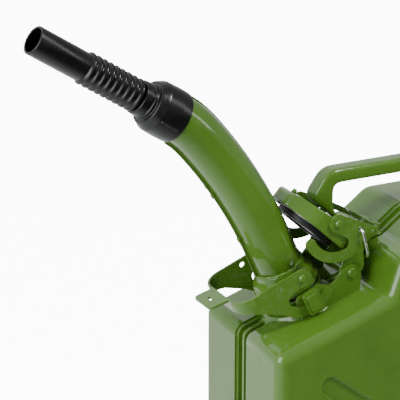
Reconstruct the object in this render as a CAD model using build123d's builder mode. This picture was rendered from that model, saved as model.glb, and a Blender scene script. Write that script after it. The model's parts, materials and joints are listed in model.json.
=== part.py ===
"""Five-litre pressed-steel jerry can with its flip cap open and a pouring spout clamped on the neck.

Units are millimetres. The origin is the middle of the base, +Z is up, and the can's long side runs
along X with the neck at the -X end. The spout leans out over the -X end.
"""

import os
from math import cos, radians, sin, tan

from build123d import *

os.makedirs("parts", exist_ok=True)

# ---------------------------------------------------------------- driving dimensions
BODY_LENGTH = 228.0
BODY_WIDTH = 118.0
SHOULDER_HEIGHT = 193.0
SHELF_SLOPE = 17.5
SHELF_LENGTH = 94.0
STEP_TOP_HEIGHT = 249.5
HUMP_HEIGHT = 268.0
SHEET = 1.0
EDGE_RADIUS = 9.0
GROOVE_DEPTH = 4.5
GROOVE_HALF_WIDTH = 6.0
GROOVE_LIP_DEPTH = 1.5
GROOVE_LIP_HALF_WIDTH = 9.0
PRESSING_DEPTH = 2.4

NECK_TILT = 24.0
CLOSURE_FROM_FRONT = 34.0
CLOSURE_HEIGHT = 233.0
LIP_DROP = 12.0
NECK_RADIUS = 23.0
NECK_BORE_RADIUS = 20.5
LIP_RADIUS = 25.2
FOOT_RADIUS = 31.0

HINGE_BACK = 40.9
HINGE_DROP = 16.8
HINGE_PIN_RADIUS = 2.5
CAP_OPENING = 66.5

PIVOT_BACK = 3.0
PIVOT_RISE = 4.5
LEVER_INNER_Y = 27.5
LEVER_SHEET = 1.8
SPOUT_LEVER_REACH = 54.0
CAP_LEVER_REACH = 42.0
TAB_LENGTH = 17.0
CAP_TAB_LENGTH = 11.0
TAB_WIDTH = 26.0
CAP_TAB_WIDTH = 21.0
TAB_BEND = 6.5
CAP_LEVER_LIFT = 16.5
LEVER_BEND = 15.0
SPOUT_LEVER_DROP = 2.5
SPOUT_LEVER_ROOT = 15.0
SPOUT_LEVER_DEPTH = 8.8
CAP_LEVER_ROOT = 5.0
CAP_LEVER_DEPTH = 3.6
RIVET_SHANK_RADIUS = 2.0
RIVET_HEAD_RADIUS = 3.2
EAR_SHEET = 1.6
EAR_OUTER_Y = LEVER_INNER_Y - 0.2
SLOT_OUTER_RADIUS = 22.0
HOOK_RADIUS = 30.0
HUB_RADIUS = 7.0

TUBE_RADIUS = 17.6
TUBE_SHEET = 1.0
TUBE_STRAIGHT = 20.0
TUBE_LOWER_BEND_RADIUS = 369.0
TUBE_UPPER_BEND_RADIUS = 79.0
TUBE_LOWER_BEND = 17.0
TUBE_UPPER_BEND = 16.0
TUBE_STUB = 9.0
CUFF_RADIUS = 19.5
CUFF_LENGTH = 26.0
NOZZLE_LENGTH = 126.0
BELLOWS_START = 36.0
BELLOWS_PITCH = 5.3
BELLOWS_RINGS = 9
BELLOWS_RADIUS = 12.2
TIP_RADIUS = 10.6
MOUTH_ROUND = 0.8
TIP_BORE_RADIUS = 8.8

HANDLE_TOP_HEIGHT = 309.0
HANDLE_BAR_DEPTH = 11.3
HANDLE_WIDTH = 15.5
HANDLE_SHEET = 1.5
PIN_WIRE_RADIUS = 1.2

FRONT_X = -BODY_LENGTH / 2


def at(x_from_front, height):
    """A point of the central profile, given from the front wall and the base."""
    return (FRONT_X + x_from_front, height)


def polar(radius, angle, side=1):
    """A point at a radius and angle about a pivot; side -1 mirrors it fore and aft."""
    return (side * radius * cos(radians(angle)), radius * sin(radians(angle)))


def rotated(x, z, angle):
    """The (x, z) pair turned anticlockwise, as seen from the -Y side."""
    c = cos(radians(angle))
    s = sin(radians(angle))
    return (x * c - z * s, x * s + z * c)


def upright_frame(origin_xz, angle):
    """A plane whose x runs rearward at the given angle above level and whose normal leans with it."""
    ax, az = rotated(1, 0, angle)
    return Plane(origin=(origin_xz[0], 0, origin_xz[1]), x_dir=(ax, 0, az), z_dir=(-az, 0, ax))


def side_frame(origin_xz, angle):
    """The central plane seen from -Y, with x rearward at the given angle and y square to it."""
    ax, az = rotated(1, 0, angle)
    return Plane(origin=(origin_xz[0], 0, origin_xz[1]), x_dir=(ax, 0, az), z_dir=(0, -1, 0))


def in_frame(origin_xz, angle, back, rise):
    """The (x, z) place of a point given back along and up from a tilted frame."""
    dx, dz = rotated(back, rise, angle)
    return (origin_xz[0] + dx, origin_xz[1] + dz)


# ---------------------------------------------------------------- shared frames
CLOSURE = at(CLOSURE_FROM_FRONT, CLOSURE_HEIGHT)
NECK = upright_frame(CLOSURE, NECK_TILT)
NECK_SIDE = side_frame(CLOSURE, NECK_TILT)

HINGE = in_frame(CLOSURE, NECK_TILT, HINGE_BACK, -HINGE_DROP)
CAP_ANGLE = NECK_TILT - CAP_OPENING
CAP_ORIGIN = in_frame(HINGE, CAP_ANGLE, -HINGE_BACK, HINGE_DROP)
CAP = upright_frame(CAP_ORIGIN, CAP_ANGLE)
CAP_SIDE = side_frame(CAP_ORIGIN, CAP_ANGLE)

SPOUT_PIVOT = in_frame(CLOSURE, NECK_TILT, PIVOT_BACK, PIVOT_RISE)
CAP_PIVOT = in_frame(CAP_ORIGIN, CAP_ANGLE, PIVOT_BACK, PIVOT_RISE)
CAP_LEVER_ANGLE = CAP_ANGLE + CAP_LEVER_LIFT
SPOUT_LEVER_ANGLE = NECK_TILT - SPOUT_LEVER_DROP
TAB = (TAB_WIDTH, TAB_LENGTH)
CAP_TAB = (CAP_TAB_WIDTH, CAP_TAB_LENGTH)

LEVER_OUTER_Y = LEVER_INNER_Y + LEVER_SHEET


# ---------------------------------------------------------------- can body
def slab(plane, corners, half_width, inset=0.0):
    """A rounded outline on a central plane, drawn in by the inset and made wide to both sides."""
    with BuildPart() as form:
        with BuildSketch(plane.offset(-half_width)):
            with BuildLine():
                FilletPolyline(*[c for c, _ in corners], radius=[r for _, r in corners], close=True)
            make_face()
            if inset:
                offset(amount=-inset, mode=Mode.REPLACE)
        extrude(amount=2 * half_width)
    return form.part


SHELF_RISE = SHELF_LENGTH * tan(radians(SHELF_SLOPE))
BODY_CORNERS = [
    (at(0, 0), 20),
    (at(0, SHOULDER_HEIGHT), 10),
    (at(SHELF_LENGTH, SHOULDER_HEIGHT + SHELF_RISE), 7),
    (at(SHELF_LENGTH + 9, STEP_TOP_HEIGHT), 10.5),
    (at(SHELF_LENGTH + 23, STEP_TOP_HEIGHT + 3), 12),
    (at(SHELF_LENGTH + 44, HUMP_HEIGHT), 16),
    (at(BODY_LENGTH - 30, HUMP_HEIGHT), 26),
    (at(BODY_LENGTH, HUMP_HEIGHT - 32), 26),
    (at(BODY_LENGTH, 0), 20),
]


def can_form(wall):
    """The can's solid form, drawn in by the wall: 0 for the outside, the sheet for the inside."""
    half = BODY_WIDTH / 2 - wall
    with BuildPart() as form:
        add(slab(Plane.XZ, BODY_CORNERS, half, wall))
        rims = form.faces().filter_by(Axis.Y)
        fillet(rims.edges(), EDGE_RADIUS - wall)
        # the stepped groove that the seam lies in, all the way round
        for half_width, depth in (
            (GROOVE_LIP_HALF_WIDTH, GROOVE_LIP_DEPTH),
            (GROOVE_HALF_WIDTH, GROOVE_DEPTH),
        ):
            with BuildPart(mode=Mode.PRIVATE) as ring:
                add(slab(Plane.XZ, BODY_CORNERS, half_width + wall, -2))
                add(slab(Plane.XZ, BODY_CORNERS, half_width + wall + 1, depth + wall), mode=Mode.SUBTRACT)
            add(ring.part, mode=Mode.SUBTRACT)
        # the crossed pressing in each broad side
        for face_y in (-half, half):
            normal = (0, 1 if face_y > 0 else -1, 0)
            middle = Plane(origin=(4, face_y, 104), x_dir=(1, 0, 0), z_dir=normal)
            with BuildSketch(middle) as cross:
                SlotOverall(206, 17 + 2 * wall, rotation=38)
                SlotOverall(206, 17 + 2 * wall, rotation=-38)
                Circle(20 + wall)
            extrude(cross.sketch, amount=-PRESSING_DEPTH, taper=38, mode=Mode.SUBTRACT)
    return form.part


outside = can_form(0)
inside = can_form(SHEET)

with BuildPart() as neck_hole:
    with BuildSketch(NECK.offset(-45)):
        Circle(NECK_BORE_RADIUS)
    extrude(amount=50)

with BuildPart() as body_half_near:
    add(outside)
    add(inside, mode=Mode.SUBTRACT)
    add(neck_hole.part, mode=Mode.SUBTRACT)
    split(bisect_by=Plane.XZ, keep=Keep.TOP)
body_half_near.part.label = "body_half_near"

with BuildPart() as body_half_far:
    add(outside)
    add(inside, mode=Mode.SUBTRACT)
    add(neck_hole.part, mode=Mode.SUBTRACT)
    split(bisect_by=Plane.XZ, keep=Keep.BOTTOM)
body_half_far.part.label = "body_half_far"

# the welded edges of the two halves stand up as a low ridge in the groove's floor
with BuildPart() as seam_weld:
    add(slab(Plane.XZ, BODY_CORNERS, 1.3, GROOVE_DEPTH - 2.2))
    add(slab(Plane.XZ, BODY_CORNERS, 2, GROOVE_DEPTH), mode=Mode.SUBTRACT)
    with BuildSketch(NECK.offset(-45)):
        Circle(NECK_RADIUS + 2.6)
    extrude(amount=50, mode=Mode.SUBTRACT)
seam_weld.part.label = "seam_weld"

# ---------------------------------------------------------------- neck
with BuildPart() as neck_blank:
    with BuildSketch(NECK.offset(-45)):
        Circle(NECK_RADIUS)
        Circle(NECK_BORE_RADIUS, mode=Mode.SUBTRACT)
    extrude(amount=45 - LIP_DROP)
    with BuildSketch(NECK.offset(-LIP_DROP - 3.4)):
        Circle(LIP_RADIUS)
        Circle(NECK_BORE_RADIUS, mode=Mode.SUBTRACT)
    extrude(amount=3.4)
    lip = neck_blank.edges().filter_by(GeomType.CIRCLE).filter_by(lambda e: e.radius > LIP_RADIUS - 0.1)
    fillet(lip, 1.4)

with BuildPart() as neck_collar:
    add(neck_blank.part)
    add(outside, mode=Mode.SUBTRACT)
neck_collar.part.label = "neck_collar"

# the flared foot that carries the neck's load out into the shelf
with BuildPart() as neck_foot:
    with BuildSketch(NECK_SIDE):
        with BuildLine():
            FilletPolyline(
                (NECK_RADIUS + 0.05, -23.5),
                (NECK_RADIUS + 1.3, -23.5),
                (NECK_RADIUS + 3.6, -26.5),
                (FOOT_RADIUS, -29.5),
                (FOOT_RADIUS, -48),
                (NECK_RADIUS + 0.05, -48),
                radius=[0.3, 0.8, 3, 2.2, 0.3, 0.3],
                close=True,
            )
        make_face()
    revolve(axis=Axis(NECK.origin, NECK.z_dir))
    add(outside, mode=Mode.SUBTRACT)
    add(seam_weld.part, mode=Mode.SUBTRACT)
neck_foot.part.label = "neck_foot"

# side plates beside the neck that carry the catches in front and the cap's hinge behind
BRACKET_INNER_Y = 25.7
BRACKET_SHEET = 1.6
with BuildPart() as bracket_blank:
    for face_y in (BRACKET_INNER_Y, -BRACKET_INNER_Y - BRACKET_SHEET):
        with BuildSketch(NECK_SIDE.offset(face_y)):
            with BuildLine():
                FilletPolyline(
                    (-9, -42),
                    (-8, -8.5),
                    (13, -8.5),
                    (23, -16.5),
                    (34, -10.5),
                    (47, -10.5),
                    (47.5, -22),
                    (36, -42),
                    radius=[0.8, 4, 6, 7, 5, 5, 6, 0.8],
                    close=True,
                )
            make_face()
            with Locations((HINGE_BACK, -HINGE_DROP)):
                Circle(HINGE_PIN_RADIUS, mode=Mode.SUBTRACT)
        extrude(amount=BRACKET_SHEET)

with BuildPart() as neck_bracket:
    add(bracket_blank.part)
    add(outside, mode=Mode.SUBTRACT)
    add(neck_blank.part, mode=Mode.SUBTRACT)
    add(neck_foot.part, mode=Mode.SUBTRACT)
neck_bracket.part.label = "neck_bracket"

# the catches that the lever's hooks slide under: a peg through the hook's slot with a boxed head
CATCH_BACK = PIVOT_BACK
CATCH_RISE = PIVOT_RISE - 17
HEAD_INNER_Y = LEVER_OUTER_Y + 0.5
HEAD_THICKNESS = 3.4
with BuildPart() as side_catches:
    for side in (1, -1):
        root_y = side * (BRACKET_INNER_Y + BRACKET_SHEET)
        plane = NECK_SIDE.offset(root_y)
        with BuildSketch(plane):
            with Locations((CATCH_BACK, CATCH_RISE)):
                RectangleRounded(8, 5.4, 1)
        extrude(amount=side * (HEAD_INNER_Y - abs(root_y)))
        with BuildSketch(NECK_SIDE.offset(side * HEAD_INNER_Y)):
            with Locations((CATCH_BACK, CATCH_RISE - 3.6)):
                RectangleRounded(13, 18, 2)
        extrude(amount=side * HEAD_THICKNESS)
        with BuildSketch(NECK_SIDE.offset(side * (HEAD_INNER_Y + HEAD_THICKNESS))):
            with Locations((CATCH_BACK, CATCH_RISE - 3.6)):
                RectangleRounded(9, 14, 1.5)
        extrude(amount=side * 0.9, taper=20)
side_catches.part.label = "side_catches"

with BuildPart() as cap_hinge_pin:
    pin_half = BRACKET_INNER_Y + BRACKET_SHEET
    with BuildSketch(NECK_SIDE.offset(-pin_half)):
        with Locations((HINGE_BACK, -HINGE_DROP)):
            Circle(HINGE_PIN_RADIUS)
    extrude(amount=2 * pin_half)
    for side in (1, -1):
        with BuildSketch(NECK_SIDE.offset(side * pin_half)):
            with Locations((HINGE_BACK, -HINGE_DROP)):
                Circle(4)
        extrude(amount=side * 1.8, taper=25)
cap_hinge_pin.part.label = "cap_hinge_pin"

# the vent pipe that lets air back past the fuel, from the mouth's top edge into the can's hump
VENT_RADIUS = 3.6
with BuildPart() as vent_pipe:
    with BuildSketch(NECK.offset(-LIP_DROP - 2)):
        with Locations((NECK_BORE_RADIUS - VENT_RADIUS - 0.2, 0)):
            Circle(VENT_RADIUS)
            Circle(VENT_RADIUS - 0.8, mode=Mode.SUBTRACT)
    extrude(amount=-44)
vent_pipe.part.label = "vent_pipe"

# ---------------------------------------------------------------- carrying handle
HANDLE_REAR = 186.0
BAR_UNDERSIDE = HANDLE_TOP_HEIGHT - HANDLE_BAR_DEPTH


HANDLE_CORNERS = [
    (at(98, 222), 8),
    (at(95, 253), 10),
    (at(54.5, 288.5), 7),
    (at(69, HANDLE_TOP_HEIGHT), 15),
    (at(HANDLE_REAR - 6, HANDLE_TOP_HEIGHT), 24),
    (at(HANDLE_REAR + 20, HUMP_HEIGHT + 4), 10),
    (at(HANDLE_REAR + 26, HUMP_HEIGHT - 30), 8),
    (at(HANDLE_REAR - 6, HUMP_HEIGHT - 30), 8),
    (at(HANDLE_REAR - 2, HUMP_HEIGHT + 6), 8),
    (at(HANDLE_REAR - 18, BAR_UNDERSIDE), 12),
    (at(73.5, BAR_UNDERSIDE), 5),
    (at(73.5, 277), 12),
    (at(93, 261), 12),
    (at(120, 253), 8),
    (at(120, 222), 8),
]
HANDLE_ROUND = 1.5

with BuildPart() as handle:
    add(slab(Plane.XZ, HANDLE_CORNERS, HANDLE_WIDTH / 2))
    fillet(handle.faces().filter_by(Axis.Y).edges(), HANDLE_ROUND)
    add(slab(Plane.XZ, HANDLE_CORNERS, HANDLE_WIDTH / 2 - HANDLE_SHEET, HANDLE_SHEET), mode=Mode.SUBTRACT)
    add(outside, mode=Mode.SUBTRACT)
    add(seam_weld.part, mode=Mode.SUBTRACT)
handle.part.label = "handle"

# ---------------------------------------------------------------- lever shared by cap and spout


def lever_plate_sketch(side, reach, root):
    """One cheek of a lever about its pivot; the tab lies toward -x for side 1, +x for side -1."""
    hub_top = (0, HUB_RADIUS)
    hub_end = polar(HUB_RADIUS, -38, side)
    eye_end = polar(HUB_RADIUS + 0.6, -120, side)
    slot_end_high = polar(12.5, -141, side)
    slot_end_low = polar(SLOT_OUTER_RADIUS, -134, side)
    slot_mouth = polar(SLOT_OUTER_RADIUS, -50, side)
    hook_tip = polar(HOOK_RADIUS, -53, side)
    hook_heel = polar(HOOK_RADIUS, -142, side)
    front_low = (-side * reach, HUB_RADIUS - root)
    front_high = (-side * reach, HUB_RADIUS)
    with BuildSketch() as cheek:
        with BuildLine():
            Line(front_low, front_high)
            Line(front_high, hub_top)
            ThreePointArc(hub_top, polar(HUB_RADIUS, 26, side), hub_end)
            ThreePointArc(hub_end, polar(HUB_RADIUS, -80, side), eye_end)
            Line(eye_end, slot_end_high)
            ThreePointArc(slot_end_high, polar(17.2, -148, side), slot_end_low)
            ThreePointArc(slot_end_low, polar(SLOT_OUTER_RADIUS, -100, side), slot_mouth)
            ThreePointArc(slot_mouth, polar(26.2, -45.5, side), hook_tip)
            ThreePointArc(hook_tip, polar(HOOK_RADIUS, -95, side), hook_heel)
            Line(hook_heel, front_low)
        make_face()
        Circle(RIVET_SHANK_RADIUS + 0.05, mode=Mode.SUBTRACT)
        with Locations((-side * 19.8, 1.7)):
            Circle(2.2, mode=Mode.SUBTRACT)
    return cheek.sketch


def lever(pivot, angle, side, reach, root, depth, tab):
    """A lever bent from strip: two hooked cheeks, a round-cornered end across them, and a thumb tab."""
    frame = side_frame(pivot, angle)
    top = upright_frame(pivot, angle).offset(HUB_RADIUS)
    bend_start = reach - LEVER_BEND
    tab_root = in_frame(pivot, angle, -side * (reach - LEVER_SHEET), HUB_RADIUS)
    tab_plane = upright_frame(tab_root, angle - side * TAB_BEND)
    tab_width, tab_length = tab
    with BuildPart() as form:
        for face_y in (LEVER_INNER_Y, -LEVER_OUTER_Y):
            with BuildSketch(frame.offset(face_y)):
                add(lever_plate_sketch(side, bend_start, root))
            extrude(amount=LEVER_SHEET)
        # the end of the strip, carried round two corners from one cheek to the other
        with BuildSketch(top):
            with BuildLine():
                FilletPolyline(
                    (-side * bend_start, LEVER_OUTER_Y),
                    (-side * reach, LEVER_OUTER_Y),
                    (-side * reach, -LEVER_OUTER_Y),
                    (-side * bend_start, -LEVER_OUTER_Y),
                    radius=[0.1, LEVER_BEND - 1, LEVER_BEND - 1, 0.1],
                    close=True,
                )
            make_face()
            with BuildLine():
                FilletPolyline(
                    (-side * (bend_start - 3), LEVER_INNER_Y),
                    (-side * (reach - LEVER_SHEET), LEVER_INNER_Y),
                    (-side * (reach - LEVER_SHEET), -LEVER_INNER_Y),
                    (-side * (bend_start - 3), -LEVER_INNER_Y),
                    radius=[0.1, LEVER_BEND - 1 - LEVER_SHEET, LEVER_BEND - 1 - LEVER_SHEET, 0.1],
                    close=True,
                )
            make_face(mode=Mode.SUBTRACT)
        extrude(amount=-root)
        # the lower edge rises round the corners
        with BuildSketch(frame.offset(-LEVER_OUTER_Y)):
            with BuildLine():
                Polyline(
                    (-side * bend_start, HUB_RADIUS - root),
                    (-side * reach, HUB_RADIUS - depth),
                    (-side * (reach + 1), HUB_RADIUS - depth),
                    (-side * (reach + 1), HUB_RADIUS - root - 1),
                    (-side * bend_start, HUB_RADIUS - root - 1),
                    close=True,
                )
            make_face()
        extrude(amount=2 * LEVER_OUTER_Y, mode=Mode.SUBTRACT)
        with BuildSketch(tab_plane):
            with BuildLine():
                FilletPolyline(
                    (0, tab_width / 2),
                    (-side * tab_length, tab_width / 2),
                    (-side * tab_length, -tab_width / 2),
                    (0, -tab_width / 2),
                    radius=[0.2, 4, 4, 0.2],
                    close=True,
                )
            make_face()
            with Locations((-side * (tab_length / 2 + 1), 0)):
                SlotOverall(5.5, 2.4, rotation=90, mode=Mode.SUBTRACT)
        extrude(amount=-LEVER_SHEET)
    return form.part


def rivets(pivot, angle):
    """The pair of shouldered rivets that a lever turns on, one each side."""
    frame = side_frame(pivot, angle)
    with BuildPart() as form:
        for side in (1, -1):
            with BuildSketch(frame.offset(side * (EAR_OUTER_Y - EAR_SHEET))):
                Circle(RIVET_SHANK_RADIUS)
            extrude(amount=side * (LEVER_SHEET + 0.5 + EAR_SHEET))
            with BuildSketch(frame.offset(side * (LEVER_OUTER_Y + 0.3))):
                Circle(RIVET_HEAD_RADIUS)
            extrude(amount=side * 1.6, taper=28)
    return form.part


# ---------------------------------------------------------------- cap
GASKET_THICKNESS = 4.0
GASKET_FACE = -LIP_DROP
CAP_GASKET_RADIUS = 23.8
DISC_RISE = GASKET_FACE + GASKET_THICKNESS
with BuildPart() as cap_gasket:
    with BuildSketch(CAP.offset(GASKET_FACE)):
        Circle(CAP_GASKET_RADIUS)
        Circle(15, mode=Mode.SUBTRACT)
    extrude(amount=GASKET_THICKNESS)
    fillet(cap_gasket.edges().filter_by(GeomType.CIRCLE), 0.8)
cap_gasket.part.label = "cap_gasket"

with BuildPart() as cap_disc:
    with BuildSketch(CAP.offset(DISC_RISE)):
        Circle(CAP_GASKET_RADIUS)
    extrude(amount=1.4)
    with BuildSketch(CAP.offset(DISC_RISE)):
        Circle(14.8)
    extrude(amount=-GASKET_THICKNESS + 1, taper=12)
cap_disc.part.label = "cap_disc"

ARM_SHEET = 1.6
ARM_HALF_WIDTH = EAR_OUTER_Y
ARM_CREST = 6.3
ARM_SIDE = [
    ((-33, -8), 0.6),
    ((-33, 1), 3.5),
    ((-27, 3.4), 5),
    ((6, ARM_CREST), 30),
    ((34, ARM_CREST - 0.5), 9),
    ((49, -8), 8),
    ((47.5, -23), 6),
    ((33, -24), 6),
    ((27, -8), 5),
]
ARM_HOLLOW = [
    ((-31.4, -12), 0.2),
    ((-31.4, 0.1), 2),
    ((-26.7, 1.8), 3.5),
    ((6, ARM_CREST - ARM_SHEET), 28),
    ((33.2, ARM_CREST - ARM_SHEET - 0.5), 7.5),
    ((47.2, -8.6), 6.5),
    ((45.6, -28), 0.2),
    ((29, -28), 0.2),
    ((29, -12), 0.2),
]
ARM_PLAN = [
    ((-33, -9), 8),
    ((-33, 9), 8),
    ((-13, ARM_HALF_WIDTH), 14),
    ((16, ARM_HALF_WIDTH), 10),
    ((24, 25.2), 10),
    ((60, 25.2), 1),
    ((60, -25.2), 1),
    ((24, -25.2), 10),
    ((16, -ARM_HALF_WIDTH), 10),
    ((-13, -ARM_HALF_WIDTH), 14),
]


def arm_plan_block(inset):
    """The cap arm's outline from above, made tall enough to trim the arm's side form."""
    with BuildPart() as form:
        with BuildSketch(CAP.offset(-30)):
            with BuildLine():
                FilletPolyline(*[c for c, _ in ARM_PLAN], radius=[r for _, r in ARM_PLAN], close=True)
            make_face()
            if inset:
                offset(amount=-inset, mode=Mode.REPLACE)
        extrude(amount=60)
    return form.part


with BuildPart() as arm_core:
    # the space under the pan, open below and behind the hinge cheeks
    add(slab(CAP_SIDE, ARM_HOLLOW, ARM_HALF_WIDTH))
    add(arm_plan_block(ARM_SHEET), mode=Mode.INTERSECT)

with BuildPart() as cap_arm:
    # a stamped pan over the disc that runs back and down to the hinge
    add(slab(CAP_SIDE, ARM_SIDE, ARM_HALF_WIDTH))
    add(arm_plan_block(0), mode=Mode.INTERSECT)
    add(arm_core.part, mode=Mode.SUBTRACT)
    with BuildSketch(CAP_SIDE.offset(-ARM_HALF_WIDTH)):
        with Locations((HINGE_BACK, -HINGE_DROP)):
            Circle(HINGE_PIN_RADIUS + 0.08)
        with Locations((PIVOT_BACK, PIVOT_RISE)):
            Circle(RIVET_SHANK_RADIUS + 0.05)
    extrude(amount=2 * ARM_HALF_WIDTH, mode=Mode.SUBTRACT)
cap_arm.part.label = "cap_arm"


with BuildPart() as cap_studs:
    # the stud that holds the disc up under the pan, and the button at the pan's nose
    with BuildSketch(CAP.offset(DISC_RISE + 1.5)):
        Circle(3.2)
    extrude(amount=11)
    with BuildSketch(CAP.offset(2.5)):
        with Locations((-25.5, 0)):
            Circle(1.9)
    extrude(amount=1.6)
    with BuildSketch(CAP.offset(4)):
        with Locations((-25.5, 0)):
            Circle(2.2)
    extrude(amount=2.6, taper=18)
    add(cap_arm.part, mode=Mode.SUBTRACT)
cap_studs.part.label = "cap_studs"

with BuildPart() as cap_lever:
    add(lever(CAP_PIVOT, CAP_LEVER_ANGLE, -1, CAP_LEVER_REACH, CAP_LEVER_ROOT, CAP_LEVER_DEPTH, CAP_TAB))
cap_lever.part.label = "cap_lever"

with BuildPart() as spout_lever:
    add(
        lever(
            SPOUT_PIVOT,
            SPOUT_LEVER_ANGLE,
            1,
            SPOUT_LEVER_REACH,
            SPOUT_LEVER_ROOT,
            SPOUT_LEVER_DEPTH,
            TAB,
        )
    )
spout_lever.part.label = "spout_lever"

with BuildPart() as cap_lever_rivets:
    add(rivets(CAP_PIVOT, CAP_ANGLE))
cap_lever_rivets.part.label = "cap_lever_rivets"

with BuildPart() as spout_lever_rivets:
    add(rivets(SPOUT_PIVOT, NECK_TILT))
spout_lever_rivets.part.label = "spout_lever_rivets"


# ---------------------------------------------------------------- spout base
BASE_FOOT = -LIP_DROP + 2.4
with BuildPart() as spout_gasket:
    with BuildSketch(NECK.offset(-LIP_DROP)):
        Circle(24.4)
        Circle(16.4, mode=Mode.SUBTRACT)
    extrude(amount=2.4)
spout_gasket.part.label = "spout_gasket"

with BuildPart() as spout_base:
    # a pressed cup that narrows from the gasket flange to a collar round the tube
    with BuildSketch(NECK_SIDE):
        with BuildLine():
            FilletPolyline(
                (16.4, BASE_FOOT),
                (25.2, BASE_FOOT),
                (25.2, BASE_FOOT + 2.4),
                (23.4, BASE_FOOT + 3.6),
                (23.4, -1.5),
                (19.6, 4.5),
                (19.6, 8.6),
                (TUBE_RADIUS + 0.05, 8.6),
                (TUBE_RADIUS + 0.05, 3.6),
                (21.8, -2.6),
                (21.8, BASE_FOOT + 1.6),
                (16.4, BASE_FOOT + 1.6),
                radius=[0.3, 1, 1, 1, 3.5, 2.5, 0.8, 0.3, 2, 2, 0.5, 0.3],
                close=True,
            )
        make_face()
    revolve(axis=Axis(NECK.origin, NECK.z_dir))
    # cheeks that carry the lever's rivets, joined to the cup by bent feet
    for side in (1, -1):
        with BuildSketch(NECK_SIDE.offset(side * (EAR_OUTER_Y - EAR_SHEET))):
            with Locations((PIVOT_BACK, 1.4)):
                RectangleRounded(17, 15.5, 5)
        extrude(amount=side * EAR_SHEET)
        with BuildSketch(NECK_SIDE.offset(side * 20)):
            with Locations((PIVOT_BACK, -4.6)):
                Rectangle(13, 2.4)
        extrude(amount=side * (EAR_OUTER_Y - EAR_SHEET / 2 - 20))
    with BuildSketch(NECK.offset(-LIP_DROP)):
        Circle(21.85)
    extrude(amount=12, mode=Mode.SUBTRACT)
    with BuildSketch(NECK_SIDE):
        with BuildLine():
            Polyline(
                (16.4, BASE_FOOT),
                (22.5, BASE_FOOT),
                (22.5, BASE_FOOT + 1.6),
                (16.4, BASE_FOOT + 1.6),
                close=True,
            )
        make_face()
    revolve(axis=Axis(NECK.origin, NECK.z_dir))
    with BuildSketch(NECK_SIDE.offset(-EAR_OUTER_Y - 1)):
        with Locations((PIVOT_BACK, PIVOT_RISE)):
            Circle(RIVET_SHANK_RADIUS + 0.05)
    extrude(amount=2 * EAR_OUTER_Y + 2, mode=Mode.SUBTRACT)
spout_base.part.label = "spout_base"

with BuildPart() as strainer_disc:
    # a perforated disc laid in the base, a ring of holes at a time
    with BuildSketch(NECK.offset(BASE_FOOT + 1.7)):
        Circle(20.5)
        for ring_radius, count in ((4, 6), (8, 12), (12, 18), (16, 24)):
            with PolarLocations(ring_radius, count):
                Circle(1.2, mode=Mode.SUBTRACT)
        Circle(1.2, mode=Mode.SUBTRACT)
    extrude(amount=0.7)
strainer_disc.part.label = "strainer_disc"


# ---------------------------------------------------------------- spout tube
def tube_path(shift, start_rise, trim_straight=0.0):
    """The tube's centre line, or a line beside it: straight out of the base, then two bends."""
    with BuildLine(NECK_SIDE) as path:
        straight = 7.8 - start_rise + TUBE_STRAIGHT - trim_straight
        rise = Line((shift, start_rise), (shift, start_rise + straight))
        lower = JernArc(rise @ 1, rise % 1, TUBE_LOWER_BEND_RADIUS + shift, TUBE_LOWER_BEND)
        upper = JernArc(lower @ 1, lower % 1, TUBE_UPPER_BEND_RADIUS + shift, TUBE_UPPER_BEND)
        Line(upper @ 1, upper @ 1 + TUBE_STUB * (upper % 1))
    return path


main_path = tube_path(0, 3.8)
NOZZLE_AXIS = main_path.line % 1
NOZZLE_START = main_path.line @ 1 - TUBE_STUB * NOZZLE_AXIS
FIN_FRONT_HEIGHT = 2.4
FIN_REAR_HEIGHT = 1.0
FIN_SHEET = 1.0

with BuildPart() as tube_form:
    with BuildSketch(NECK.offset(3.8)):
        Circle(TUBE_RADIUS)
    sweep(path=main_path.line)

with BuildPart() as tube_bore:
    with BuildSketch(NECK.offset(3.8)):
        Circle(TUBE_RADIUS - TUBE_SHEET)
    sweep(path=main_path.line)

# the folded seam that stands along the tube's front and back
fin_path = tube_path(0, 9.0)
with BuildPart() as tube_fins:
    with BuildSketch(NECK.offset(9.0)):
        with Locations(((FIN_REAR_HEIGHT - FIN_FRONT_HEIGHT) / 2, 0)):
            Rectangle(2 * TUBE_RADIUS + FIN_FRONT_HEIGHT + FIN_REAR_HEIGHT, 2 * FIN_SHEET)
    sweep(path=fin_path.line)
    with BuildSketch(Plane(origin=NOZZLE_START, z_dir=NOZZLE_AXIS).offset(-2)):
        Circle(60)
    extrude(amount=30, mode=Mode.SUBTRACT)

with BuildPart() as spout_half_near:
    add(tube_form.part)
    add(tube_fins.part)
    add(tube_bore.part, mode=Mode.SUBTRACT)
    split(bisect_by=Plane.XZ, keep=Keep.TOP)
spout_half_near.part.label = "spout_half_near"

with BuildPart() as spout_half_far:
    add(tube_form.part)
    add(tube_fins.part)
    add(tube_bore.part, mode=Mode.SUBTRACT)
    split(bisect_by=Plane.XZ, keep=Keep.BOTTOM)
spout_half_far.part.label = "spout_half_far"

# the air pipe inside the spout's upper side
AIR_PIPE_RADIUS = 3.0
AIR_PIPE_SHIFT = TUBE_RADIUS - TUBE_SHEET - AIR_PIPE_RADIUS - 0.3
air_path = tube_path(AIR_PIPE_SHIFT, BASE_FOOT + 3)
with BuildPart() as spout_air_pipe:
    with BuildSketch(NECK.offset(BASE_FOOT + 3)):
        with Locations((AIR_PIPE_SHIFT, 0)):
            Circle(AIR_PIPE_RADIUS)
            Circle(AIR_PIPE_RADIUS - 0.7, mode=Mode.SUBTRACT)
    sweep(path=air_path.line)
spout_air_pipe.part.label = "spout_air_pipe"

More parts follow.
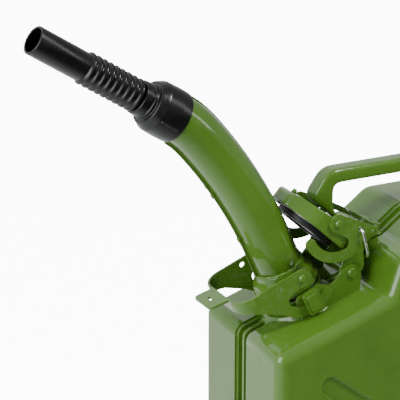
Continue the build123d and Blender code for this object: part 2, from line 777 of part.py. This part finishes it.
# ---------------------------------------------------------------- flexible nozzle
TIP_START = BELLOWS_START + BELLOWS_PITCH * BELLOWS_RINGS
NOZZLE = Plane(origin=NOZZLE_START, x_dir=(0, 1, 0), z_dir=NOZZLE_AXIS)
NOZZLE_SECTION = Plane(origin=NOZZLE_START, x_dir=NOZZLE.y_dir, z_dir=NOZZLE.x_dir)
spin = Axis(NOZZLE_START, NOZZLE_AXIS)


def along_nozzle(radius, distance):
    """A section point from its distance off the nozzle's axis and its distance along it."""
    return (radius, distance) if NOZZLE_SECTION.y_dir.dot(NOZZLE_AXIS) > 0 else (radius, -distance)


with BuildPart() as nozzle_cuff:
    # pushed over the tube's end, with a raised band round its middle and a waist in front
    with BuildSketch(NOZZLE_SECTION):
        with BuildLine():
            outline = [
                ((TUBE_RADIUS - 4, 0), 0.2),
                ((CUFF_RADIUS - 0.3, 0), 0.9),
                ((CUFF_RADIUS, 8), 8),
                ((CUFF_RADIUS - 0.4, CUFF_LENGTH - 6), 3.5),
                ((CUFF_RADIUS - 3.4, CUFF_LENGTH), 1.4),
                ((13.2, CUFF_LENGTH), 0.8),
                ((13.2, CUFF_LENGTH + 2.2), 0.8),
                ((11.6, CUFF_LENGTH + 3.2), 0.4),
                ((13.0, CUFF_LENGTH + 4.4), 0.8),
                ((12.6, BELLOWS_START - 0.6), 0.6),
                ((11.2, BELLOWS_START), 0.2),
                ((TIP_BORE_RADIUS, BELLOWS_START), 0.2),
                ((TIP_BORE_RADIUS, CUFF_LENGTH - 6), 3),
                ((TUBE_RADIUS - 4, TUBE_STUB + 1), 0.3),
            ]
            FilletPolyline(
                *[along_nozzle(*c) for c, _ in outline], radius=[r for _, r in outline], close=True
            )
        make_face()
    revolve(axis=spin)
    add(tube_form.part, mode=Mode.SUBTRACT)
nozzle_cuff.part.label = "nozzle_cuff"

with BuildPart() as nozzle_bellows:
    with BuildSketch(NOZZLE_SECTION):
        with BuildLine():
            crests = []
            for ring in range(BELLOWS_RINGS):
                start = BELLOWS_START + ring * BELLOWS_PITCH
                crests.append(((BELLOWS_RADIUS - 2.4, start), 0.5))
                crests.append(((BELLOWS_RADIUS, start + 0.25 * BELLOWS_PITCH), 1.1))
                crests.append(((BELLOWS_RADIUS, start + 0.75 * BELLOWS_PITCH), 1.1))
            crests.append(((BELLOWS_RADIUS - 2.4, TIP_START), 0.1))
            crests.append(((TIP_BORE_RADIUS, TIP_START), 0.1))
            crests.append(((TIP_BORE_RADIUS, BELLOWS_START), 0.1))
            FilletPolyline(
                *[along_nozzle(*c) for c, _ in crests],
                radius=[r for _, r in crests],
                close=True,
            )
        make_face()
    revolve(axis=spin)
nozzle_bellows.part.label = "nozzle_bellows"

with BuildPart() as nozzle_tip:
    with BuildSketch(NOZZLE.offset(TIP_START)):
        Circle(TIP_RADIUS)
        Circle(TIP_BORE_RADIUS, mode=Mode.SUBTRACT)
    extrude(amount=NOZZLE_LENGTH - TIP_START)
    mouth_edges = nozzle_tip.edges().filter_by(GeomType.CIRCLE).sort_by(spin)[-2:]
    fillet(mouth_edges, MOUTH_ROUND)
nozzle_tip.part.label = "nozzle_tip"

# ---------------------------------------------------------------- safety pin
PIN_HOLE = in_frame(CAP_PIVOT, CAP_LEVER_ANGLE, 19.8, 1.7)
PIN_LEAN = 14.5
with BuildPart() as safety_pin:
    # a bent wire hooked through the near cheek's hole, hanging down outside the cheek
    hang = side_frame(PIN_HOLE, PIN_LEAN)
    out_y = LEVER_OUTER_Y + 3.2
    down = (-hang.y_dir.X, -hang.y_dir.Z)

    def wire_point(y, drop):
        """A point of the wire: its place across the can and how far it hangs below the hole."""
        return (PIN_HOLE[0] + down[0] * drop, y, PIN_HOLE[1] + down[1] * drop)

    with BuildLine() as wire:
        FilletPolyline(
            wire_point(-LEVER_INNER_Y + 3.2, -6),
            wire_point(-LEVER_INNER_Y + 3.2, 0),
            wire_point(-out_y, 0),
            wire_point(-out_y, 18.5),
            wire_point(-out_y + 1.8, 22.5),
            radius=2.6,
        )
    with BuildSketch(Plane(origin=wire.line @ 0, z_dir=wire.line % 0)):
        Circle(PIN_WIRE_RADIUS)
    sweep()
safety_pin.part.label = "safety_pin"

parts = {
    "body_half_near": body_half_near,
    "body_half_far": body_half_far,
    "seam_weld": seam_weld,
    "neck_collar": neck_collar,
    "neck_foot": neck_foot,
    "neck_bracket": neck_bracket,
    "side_catches": side_catches,
    "cap_hinge_pin": cap_hinge_pin,
    "vent_pipe": vent_pipe,
    "handle": handle,
    "cap_gasket": cap_gasket,
    "cap_disc": cap_disc,
    "cap_arm": cap_arm,
    "cap_studs": cap_studs,
    "cap_lever": cap_lever,
    "cap_lever_rivets": cap_lever_rivets,
    "safety_pin": safety_pin,
    "spout_gasket": spout_gasket,
    "spout_base": spout_base,
    "strainer_disc": strainer_disc,
    "spout_half_near": spout_half_near,
    "spout_half_far": spout_half_far,
    "spout_air_pipe": spout_air_pipe,
    "spout_lever": spout_lever,
    "spout_lever_rivets": spout_lever_rivets,
    "nozzle_cuff": nozzle_cuff,
    "nozzle_bellows": nozzle_bellows,
    "nozzle_tip": nozzle_tip,
}
for name, piece in parts.items():
    export_step(piece.part, f"parts/{name}.step")
    print(name, round(piece.part.volume), len(piece.part.solids()))
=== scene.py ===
"""Looks for a small pressed-steel jerry can with its cap open and a pouring spout on the neck."""

import json
import random
from math import cos, pi, radians, sin

import bmesh
import bpy
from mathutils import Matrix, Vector


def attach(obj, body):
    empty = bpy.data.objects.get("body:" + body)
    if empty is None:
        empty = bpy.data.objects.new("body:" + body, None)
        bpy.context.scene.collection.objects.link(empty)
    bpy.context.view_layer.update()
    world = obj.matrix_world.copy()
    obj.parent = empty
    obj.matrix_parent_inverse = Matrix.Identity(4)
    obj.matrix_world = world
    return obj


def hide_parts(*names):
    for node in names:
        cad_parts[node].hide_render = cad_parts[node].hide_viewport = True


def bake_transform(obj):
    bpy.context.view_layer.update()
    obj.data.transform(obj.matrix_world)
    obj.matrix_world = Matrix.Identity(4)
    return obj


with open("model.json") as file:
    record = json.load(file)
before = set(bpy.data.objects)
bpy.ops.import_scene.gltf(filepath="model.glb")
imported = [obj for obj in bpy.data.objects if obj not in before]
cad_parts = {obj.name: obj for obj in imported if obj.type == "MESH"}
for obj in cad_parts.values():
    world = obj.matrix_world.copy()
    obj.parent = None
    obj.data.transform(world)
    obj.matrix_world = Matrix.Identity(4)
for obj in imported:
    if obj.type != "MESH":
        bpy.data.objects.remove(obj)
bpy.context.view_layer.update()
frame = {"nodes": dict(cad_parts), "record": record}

NODES = frame["nodes"]
SLOT_OF = {row["node"]: row["material_slot"] for row in frame["record"]["subparts"]}

# ---------------------------------------------------------------- colours
GREEN = (0.080, 0.182, 0.016)
GREEN_DARK = (0.066, 0.156, 0.013)
RUBBED = (0.22, 0.30, 0.13)
STEEL = (0.34, 0.34, 0.33)
CHROME = (0.88, 0.88, 0.89)
GAUZE = (0.5, 0.5, 0.48)
RUBBER = (0.008, 0.008, 0.009)
BLACK_PLASTIC = (0.0035, 0.0035, 0.004)
PALE = (0.82, 0.82, 0.82)
FLOOR_IN_REFLECTIONS = (0.06, 0.07, 0.05)
PAPER_LIGHT = (0.97, 0.985, 1.0, 1)

# ---------------------------------------------------------------- sizes in metres, angles, counts
JOIN_DISTANCE = 0.00001
EDGE_ROUND = 0.00035
EDGE_SEGMENTS = 2
EDGE_ANGLE = radians(40)

NECK_TILT = radians(24)
NECK_ORIGIN = Vector((-0.080, 0, 0.233))
NECK_UP = Vector((-sin(NECK_TILT), 0, cos(NECK_TILT)))
NECK_BACK = Vector((cos(NECK_TILT), 0, sin(NECK_TILT)))
SIDE = Vector((0, 1, 0))

TUBE_RADIUS = 0.0176
TUBE_START = 0.0038
TUBE_STRAIGHT = 0.024
TUBE_BENDS = ((0.369, radians(17)), (0.079, radians(16)))
TUBE_LENGTH = TUBE_STRAIGHT + sum(radius * turn for radius, turn in TUBE_BENDS)

BELLOWS_START = 0.036
BELLOWS_END = 0.0837
BELLOWS_RINGS = 9
BELLOWS_STEPS = 12  # stations along each ring
BELLOWS_SEGMENTS = 72
BELLOWS_ROOT = 0.00985
BELLOWS_CREST = 0.00235
BELLOWS_BORE = 0.0087
BELLOWS_BORE_WAVE = 0.0018
BELLOWS_FULLNESS = 0.6  # below 1 the crests are rounder than the roots

BEAD_SIDES = 10
BEAD_END = 0.35  # how far an open bead narrows at its ends
FOOT_BEAD_OFFSET = 0.0008
FOOT_BEAD_RISE = 0.0089
FOOT_BEAD_POINTS = 60
LUMP_STEP = 0.0022
LUMP_OFFSET = 0.0016
CUFF_LINE_START = 0.0022
CUFF_LINE_LENGTH = 0.0175
CUFF_LINE_POINTS = 12
CUFF_LINE_RADIUS = 0.0193
CUFF_LINE_ANGLE = radians(112)

# ---------------------------------------------------------------- studio settings
FLOOR_HALF = 6.0
FLOOR_GLOW = (11.0, 1.35, 0.0)  # seen by the camera, seen in reflections, as a light
WORLD_GLOW = (12.0, 1.10, 0.72)
CAMERA_PLACE = (-0.7576, -1.1972, 0.7764)
CAMERA_AZIMUTH = radians(27)
CAMERA_ELEVATION = radians(19.5)
CAMERA_LENS = 180
CAMERA_SENSOR = 36


# ---------------------------------------------------------------- material helpers
def new_material(name):
    """A node material, its node tree and its shader."""
    material = bpy.data.materials.new(name)
    material.use_nodes = True
    tree = material.node_tree
    return material, tree, tree.nodes["Principled BSDF"]


def noise(tree, coords, scale, detail, rough):
    """Fractal noise between 0 and 1."""
    node = tree.nodes.new("ShaderNodeTexNoise")
    node.inputs["Scale"].default_value = scale
    node.inputs["Detail"].default_value = detail
    node.inputs["Roughness"].default_value = rough
    tree.links.new(coords, node.inputs["Vector"])
    return node.outputs["Fac"]


def ramp(tree, value, first, last):
    """A colour that runs between two (place, colour) stops."""
    node = tree.nodes.new("ShaderNodeValToRGB")
    tree.links.new(value, node.inputs["Fac"])
    for element, (place, colour) in zip(node.color_ramp.elements, (first, last)):
        element.position = place
        element.color = (*colour, 1.0)
    return node.outputs["Color"]


def map_range(tree, value, low, high, out_low, out_high):
    """A value carried from one range to another and held at its ends."""
    node = tree.nodes.new("ShaderNodeMapRange")
    node.inputs["From Min"].default_value = low
    node.inputs["From Max"].default_value = high
    node.inputs["To Min"].default_value = out_low
    node.inputs["To Max"].default_value = out_high
    tree.links.new(value, node.inputs["Value"])
    return node.outputs["Result"]


def mix_colour(tree, factor, a, b):
    """A blend of two colours, each a socket or three numbers."""
    node = tree.nodes.new("ShaderNodeMix")
    node.data_type = "RGBA"
    tree.links.new(factor, node.inputs[0])
    for socket, value in ((node.inputs[6], a), (node.inputs[7], b)):
        if isinstance(value, bpy.types.NodeSocket):
            tree.links.new(value, socket)
        else:
            socket.default_value = (*value, 1.0)
    return node.outputs[2]


def combine(tree, kind, a, b):
    """One sum, difference or product of two sockets."""
    node = tree.nodes.new("ShaderNodeMath")
    node.operation = kind
    tree.links.new(a, node.inputs[0])
    tree.links.new(b, node.inputs[1])
    return node.outputs[0]


def bump(tree, shader, height, strength, distance):
    """Fine relief in a shader's normal."""
    node = tree.nodes.new("ShaderNodeBump")
    node.inputs["Strength"].default_value = strength
    node.inputs["Distance"].default_value = distance
    tree.links.new(height, node.inputs["Height"])
    tree.links.new(node.outputs["Normal"], shader.inputs["Normal"])
    return node.outputs["Normal"]


def object_coords(tree):
    return tree.nodes.new("ShaderNodeTexCoord").outputs["Object"]


# ---------------------------------------------------------------- materials
def enamel(name, wear):
    """Thick glossy enamel: slight mottling, faint orange peel, tiny dust nibs and rubbed edges."""
    material, tree, shader = new_material(name)
    at = object_coords(tree)
    mottle = noise(tree, at, scale=16.0, detail=4.0, rough=0.55)
    tint = ramp(tree, mottle, (0.36, GREEN_DARK), (0.60, GREEN))
    edge = tree.nodes.new("ShaderNodeNewGeometry").outputs["Pointiness"]
    worn = map_range(tree, edge, 0.55, 0.66, 0.0, wear)
    patches = noise(tree, at, scale=230.0, detail=5.0, rough=0.7)
    rub = combine(tree, "MULTIPLY", worn, map_range(tree, patches, 0.5, 0.6, 0.0, 1.0))
    tree.links.new(mix_colour(tree, rub, tint, RUBBED), shader.inputs["Base Color"])
    smudge = noise(tree, at, scale=45.0, detail=5.0, rough=0.62)
    sheen = map_range(tree, smudge, 0.3, 0.7, 0.34, 0.50)
    tree.links.new(sheen, shader.inputs["Roughness"])
    coat_sheen = map_range(tree, smudge, 0.35, 0.75, 0.015, 0.09)
    tree.links.new(coat_sheen, shader.inputs["Coat Roughness"])
    shader.inputs["Coat Weight"].default_value = 1.0
    shader.inputs["Coat IOR"].default_value = 1.52
    shader.inputs["Specular IOR Level"].default_value = 0.12
    peel = noise(tree, at, scale=130.0, detail=2.0, rough=0.5)
    dust = noise(tree, at, scale=900.0, detail=2.0, rough=0.5)
    nibs = map_range(tree, dust, 0.70, 0.80, 0.0, 1.0)
    relief = bump(tree, shader, combine(tree, "ADD", peel, nibs), strength=0.07, distance=0.0006)
    tree.links.new(relief, shader.inputs["Coat Normal"])
    return material


def metal(name, colour, rough, streak):
    """Bare or plated metal with fine streaks in its sheen."""
    material, tree, shader = new_material(name)
    fine = noise(tree, object_coords(tree), scale=streak, detail=3.0, rough=0.6)
    dull = tuple(c * 0.6 for c in colour)
    dulled = map_range(tree, fine, 0.35, 0.65, 0.0, 0.35)
    tree.links.new(mix_colour(tree, dulled, colour, dull), shader.inputs["Base Color"])
    sheen = map_range(tree, fine, 0.3, 0.7, rough, rough + 0.15)
    tree.links.new(sheen, shader.inputs["Roughness"])
    shader.inputs["Metallic"].default_value = 1.0
    bump(tree, shader, fine, strength=0.08, distance=0.0002)
    return material


def dark_polymer(name, colour, rough, grain, depth):
    """Moulded black plastic or rubber: fine grain and faint scuffs."""
    material, tree, shader = new_material(name)
    at = object_coords(tree)
    scuff = noise(tree, at, scale=60.0, detail=5.0, rough=0.65)
    lighter = tuple(c * 1.7 + 0.003 for c in colour)
    scuffed = map_range(tree, scuff, 0.5, 0.75, 0.0, 0.7)
    tree.links.new(mix_colour(tree, scuffed, colour, lighter), shader.inputs["Base Color"])
    sheen = map_range(tree, scuff, 0.3, 0.7, rough, rough + 0.12)
    tree.links.new(sheen, shader.inputs["Roughness"])
    shader.inputs["Specular IOR Level"].default_value = 0.45
    fine = noise(tree, at, scale=grain, detail=2.0, rough=0.5)
    bump(tree, shader, fine, strength=depth, distance=0.0003)
    return material


MATERIALS = {
    "green_paint": enamel("green_paint_look", wear=0.10),
    "green_fittings": enamel("green_fittings_look", wear=0.14),
    "weld": enamel("weld_look", wear=0.3),
    "bright_steel": metal("bright_steel_look", STEEL, rough=0.34, streak=300.0),
    "pin_chrome": metal("pin_chrome_look", CHROME, rough=0.05, streak=150.0),
    "gasket_rubber": dark_polymer("gasket_rubber_look", RUBBER, 0.42, grain=900.0, depth=0.2),
    "nozzle_plastic": dark_polymer(
        "nozzle_plastic_look", BLACK_PLASTIC, 0.20, grain=1200.0, depth=0.10
    ),
    "gauze_steel": metal("gauze_steel_look", GAUZE, rough=0.3, streak=400.0),
}


def dress(piece, slot):
    piece.data.materials.clear()
    piece.data.materials.append(MATERIALS[slot])


for node, piece in NODES.items():
    dress(piece, SLOT_OF[node])
    join = piece.modifiers.new("join", "WELD")
    join.merge_threshold = JOIN_DISTANCE
    soft = piece.modifiers.new("edge", "BEVEL")
    soft.width = EDGE_ROUND
    soft.segments = EDGE_SEGMENTS
    soft.limit_method = "ANGLE"
    soft.angle_limit = EDGE_ANGLE


# ---------------------------------------------------------------- the neck's and nozzle's frames
def in_neck(back, side, rise):
    """A point given in the neck's tilted frame."""
    return NECK_ORIGIN + NECK_BACK * back + SIDE * side + NECK_UP * rise


def tube_point(distance):
    """Centre and direction of the pouring tube at a distance along it."""
    tilt = NECK_TILT
    straight = min(distance, TUBE_STRAIGHT)
    here = in_neck(0, 0, TUBE_START) + NECK_UP * straight
    left = distance - straight
    for radius, turn in TUBE_BENDS:
        if left <= 0:
            break
        angle = min(left / radius, turn)
        forward = radius * (cos(tilt) - cos(tilt + angle))
        rise = radius * (sin(tilt + angle) - sin(tilt))
        here = here + Vector((-forward, 0, rise))
        tilt += angle
        left -= angle * radius
    return here, Vector((-sin(tilt), 0, cos(tilt)))


NOZZLE_START, NOZZLE_AXIS = tube_point(TUBE_LENGTH)
NOZZLE_UP = NOZZLE_AXIS.cross(SIDE) * -1


# ---------------------------------------------------------------- piece builders
def piece_from(build, name, slot):
    """Turn a bmesh into a smooth-shaded piece with its slot's look."""
    bmesh.ops.recalc_face_normals(build, faces=build.faces)
    mesh = bpy.data.meshes.new(name)
    build.to_mesh(mesh)
    build.free()
    mesh.shade_smooth()
    piece = bpy.data.objects.new(name, mesh)
    bpy.context.scene.collection.objects.link(piece)
    dress(piece, slot)
    return piece


def join_rings(build, a, b):
    """A band of four-sided faces between two rings of the same count."""
    count = len(a)
    for k in range(count):
        build.faces.new((a[k], a[(k + 1) % count], b[(k + 1) % count], b[k]))


def bead(name, points, radius, body, slot, seed, lump, closed=False):
    """An irregular bead of metal or plastic along a line of points, riding on a body."""
    rng = random.Random(seed)
    build = bmesh.new()
    rings = []
    count = len(points)
    for i, point in enumerate(points):
        ahead = points[(i + 1) % count] if closed or i < count - 1 else point
        behind = points[i - 1] if closed or i else point
        along = (ahead - behind).normalized()
        across = along.cross(Vector((0.3, 0.9, 0.31))).normalized()
        over = along.cross(across)
        swell = radius * (1 + lump * (rng.random() - 0.5) + 0.14 * sin(i * 2.1))
        if not closed and i in (0, count - 1):
            swell *= BEAD_END
        drift = across * rng.uniform(-0.2, 0.2) * radius + over * rng.uniform(-0.2, 0.2) * radius
        ring = []
        for k in range(BEAD_SIDES):
            turn = 2 * pi * k / BEAD_SIDES
            outward = across * cos(turn) + over * sin(turn)
            uneven = 1 + 0.25 * lump * (rng.random() - 0.5)
            ring.append(build.verts.new(point + drift + outward * swell * uneven))
        rings.append(ring)
    for a, b in zip(rings, rings[1:]):
        join_rings(build, a, b)
    if closed:
        join_rings(build, rings[-1], rings[0])
    else:
        build.faces.new(rings[0])
        build.faces.new(rings[-1])
    piece = piece_from(build, name, slot)
    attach(piece, body)
    smooth = piece.modifiers.new("smooth", "SUBSURF")
    smooth.levels = 1
    smooth.render_levels = 1
    return piece


def turned(name, profile, start, axis, up, segments, slot):
    """A piece turned about an axis from the (radius, distance) pairs of its closed section."""
    side = axis.cross(up)
    build = bmesh.new()
    rings = []
    for radius, distance in profile:
        centre = start + axis * distance
        ring = []
        for k in range(segments):
            turn = 2 * pi * k / segments
            ring.append(build.verts.new(centre + (up * cos(turn) + side * sin(turn)) * radius))
        rings.append(ring)
    for a, b in zip(rings, rings[1:] + rings[:1]):
        join_rings(build, a, b)
    return piece_from(build, name, slot)


# ---------------------------------------------------------------- the flexible bellows
def bellows_profile():
    """Rounded crests with tight roots outside, a softer wave of the same pitch inside."""
    total = BELLOWS_RINGS * BELLOWS_STEPS
    outer = []
    inner = []
    for i in range(total + 1):
        wave = (0.5 - 0.5 * cos(2 * pi * i / BELLOWS_STEPS)) ** BELLOWS_FULLNESS
        distance = BELLOWS_START + (BELLOWS_END - BELLOWS_START) * i / total
        outer.append((BELLOWS_ROOT + BELLOWS_CREST * wave, distance))
        inner.append((BELLOWS_BORE + BELLOWS_BORE_WAVE * wave, distance))
    return outer + inner[::-1]


bellows = turned(
    "flexible_bellows",
    bellows_profile(),
    NOZZLE_START,
    NOZZLE_AXIS,
    NOZZLE_UP,
    BELLOWS_SEGMENTS,
    "nozzle_plastic",
)
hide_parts("nozzle_bellows")
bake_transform(bellows)


# ---------------------------------------------------------------- the handle and the cap's pan
def soften(node, voxel, rounds):
    """Even out a CAD node's surface and round its edges over."""
    piece = NODES[node]
    even = piece.modifiers.new("even", "REMESH")
    even.mode = "VOXEL"
    even.voxel_size = voxel
    even.use_smooth_shade = True
    smooth = piece.modifiers.new("round", "SMOOTH")
    smooth.factor = 0.5
    smooth.iterations = rounds


soften("handle", voxel=0.0007, rounds=90)
soften("cap_arm", voxel=0.00045, rounds=12)


# ---------------------------------------------------------------- weld beads
def foot_ring():
    """Points round the tube where it stands on the spout's pressed cup."""
    radius = TUBE_RADIUS + FOOT_BEAD_OFFSET
    points = []
    for k in range(FOOT_BEAD_POINTS):
        turn = 2 * pi * k / FOOT_BEAD_POINTS
        points.append(in_neck(radius * cos(turn), radius * sin(turn), FOOT_BEAD_RISE))
    return points


def fin_line(first, last):
    """Points up the front edge of the tube's folded seam."""
    points = []
    distance = first
    while distance <= last:
        centre, along = tube_point(distance)
        front = Vector((-along.z, 0, along.x))
        points.append(centre + front * (TUBE_RADIUS + LUMP_OFFSET))
        distance += LUMP_STEP
    return points


bead("tube_foot_bead", foot_ring(), 0.0012, "can", "weld", 3, lump=0.9, closed=True)
bead("seam_lump_upper", fin_line(0.078, 0.100), 0.0014, "can", "weld", 5, lump=1.0)
bead("seam_lump_lower", fin_line(0.034, 0.046), 0.0013, "can", "weld", 8, lump=1.0)


# ---------------------------------------------------------------- mould line on the cuff's near side
def cuff_line():
    """Points along the cuff, part of the way round from its top."""
    outward = NOZZLE_UP * cos(CUFF_LINE_ANGLE) - SIDE * sin(CUFF_LINE_ANGLE)
    points = []
    for step in range(CUFF_LINE_POINTS):
        distance = CUFF_LINE_START + CUFF_LINE_LENGTH * step / (CUFF_LINE_POINTS - 1)
        points.append(NOZZLE_START + NOZZLE_AXIS * distance + outward * CUFF_LINE_RADIUS)
    return points


bead("cuff_mould_line", cuff_line(), 0.0008, "can", "nozzle_plastic", 2, lump=0.0)


# ---------------------------------------------------------------- stage, light and camera
def seen_as(tree, camera_value, glossy_value, other_value, place):
    """A strength that differs for the camera, for reflections and for the light it gives."""
    path = tree.nodes.new("ShaderNodeLightPath")
    glossy = path.outputs["Is Glossy Ray"]
    lit = combine(
        tree, "MULTIPLY", map_range(tree, glossy, 0.0, 1.0, other_value, glossy_value), place
    )
    pick = tree.nodes.new("ShaderNodeMix")
    pick.data_type = "FLOAT"
    tree.links.new(path.outputs["Is Camera Ray"], pick.inputs[0])
    tree.links.new(lit, pick.inputs[2])
    pick.inputs[3].default_value = camera_value
    return pick.outputs[0]


def lean_left(tree, place, low, high, least):
    """A factor that rises toward the back left of the studio, from a place or a direction."""
    split = tree.nodes.new("ShaderNodeSeparateXYZ")
    tree.links.new(place, split.inputs[0])
    lean = combine(tree, "SUBTRACT", split.outputs[1], split.outputs[0])
    return map_range(tree, lean, low, high, least, 1.0)


def paper_floor():
    """Flat white paper with a painted glow that is brighter toward the back left, so it is bright
    there in reflections.
    """
    build = bmesh.new()
    bmesh.ops.create_grid(build, x_segments=2, y_segments=2, size=FLOOR_HALF)
    mesh = bpy.data.meshes.new("floor")
    build.to_mesh(mesh)
    build.free()
    floor = bpy.data.objects.new("floor", mesh)
    bpy.context.scene.collection.objects.link(floor)
    material, tree, shader = new_material("floor_look")
    reflected = tree.nodes.new("ShaderNodeLightPath").outputs["Is Glossy Ray"]
    tint = mix_colour(tree, reflected, PALE, FLOOR_IN_REFLECTIONS)
    tree.links.new(tint, shader.inputs["Base Color"])
    shader.inputs["Roughness"].default_value = 0.7
    shader.inputs["Specular IOR Level"].default_value = 0.0
    shader.inputs["Emission Color"].default_value = PAPER_LIGHT
    # painted glow: the flat floor itself glows brighter toward the back left, for the camera and in
    # reflections, and lights nothing
    behind = lean_left(tree, object_coords(tree), -0.25, 0.35, least=0.0)
    glow = seen_as(tree, *FLOOR_GLOW, place=behind)
    tree.links.new(glow, shader.inputs["Emission Strength"])
    floor.data.materials.append(material)


def paper_world():
    """Soft light from all round, brighter toward the back left."""
    world = bpy.data.worlds.new("studio")
    bpy.context.scene.world = world
    world.use_nodes = True
    tree = world.node_tree
    background = tree.nodes["Background"]
    background.inputs["Color"].default_value = PAPER_LIGHT
    direction = tree.nodes.new("ShaderNodeTexCoord").outputs["Generated"]
    behind = lean_left(tree, direction, -0.35, 0.55, least=0.30)
    glow = seen_as(tree, *WORLD_GLOW, place=behind)
    tree.links.new(glow, background.inputs["Strength"])


def softbox(name, place, target, size, power):
    """A rectangular light turned toward a point."""
    light = bpy.data.lights.new(name, "AREA")
    light.shape = "RECTANGLE"
    light.size, light.size_y = size
    light.energy = power
    lamp = bpy.data.objects.new(name, light)
    bpy.context.scene.collection.objects.link(lamp)
    lamp.location = place
    aim = Vector(target) - Vector(place)
    lamp.rotation_euler = aim.to_track_quat("-Z", "Y").to_euler()


def product_camera():
    """The long lens that looks down on the near side and the neck's end."""
    data = bpy.data.cameras.new("camera")
    data.lens = CAMERA_LENS
    data.sensor_width = CAMERA_SENSOR
    camera = bpy.data.objects.new("camera", data)
    bpy.context.scene.collection.objects.link(camera)
    camera.location = CAMERA_PLACE
    level = cos(CAMERA_ELEVATION)
    ahead = Vector(
        (sin(CAMERA_AZIMUTH) * level, cos(CAMERA_AZIMUTH) * level, -sin(CAMERA_ELEVATION))
    )
    camera.rotation_euler = ahead.to_track_quat("-Z", "Y").to_euler()
    bpy.context.scene.camera = camera


paper_floor()
paper_world()
softbox("overhead", (0.42, -0.62, 1.30), (0, -0.05, 0.22), (0.34, 0.30), 14)
softbox("left_wall", (-1.5, -0.3, 0.9), (0, 0, 0.2), (1.0, 1.2), 22)
softbox("right_fill", (1.5, -1.0, 1.0), (0, 0, 0.2), (0.3, 1.0), 4)
product_camera()
